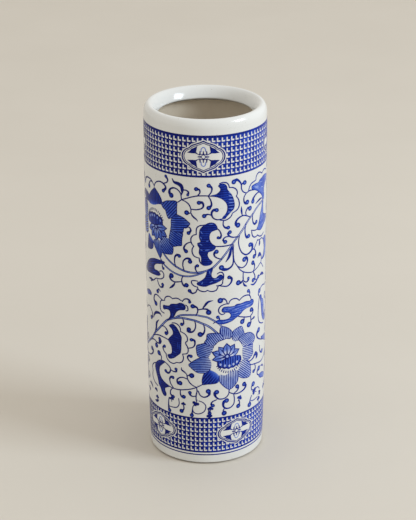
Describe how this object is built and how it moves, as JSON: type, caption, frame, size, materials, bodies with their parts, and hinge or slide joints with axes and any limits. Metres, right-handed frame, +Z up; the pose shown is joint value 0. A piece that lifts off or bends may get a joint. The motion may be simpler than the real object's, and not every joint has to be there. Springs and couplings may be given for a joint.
{
  "type": "umbrella stand",
  "caption": "Tall open porcelain cylinder with a rolled lip and painted blue-and-white scrollwork, standing on felt pads, for umbrellas and walking sticks.",
  "frame": {"origin": "centre of the stand on the surface that it rests on, under the felt pads", "axes": "+Z up along the cylinder's axis, -Y towards the viewer in front, +X to the viewer's right"},
  "size_m": [0.2, 0.2, 0.612],
  "materials": {
    "glazed_porcelain": "gloss",
    "painted_cobalt": "gloss",
    "bare_clay": "matte",
    "felt": "matte"
  },
  "bodies": {
    "root": {"rolled_lip": "glazed_porcelain", "cylinder_wall": "glazed_porcelain", "drip_floor": "glazed_porcelain", "foot_ring": "bare_clay", "felt_pad_1": "felt", "felt_pad_2": "felt", "felt_pad_3": "felt", "felt_pad_4": "felt"}
  },
  "joints": []
}
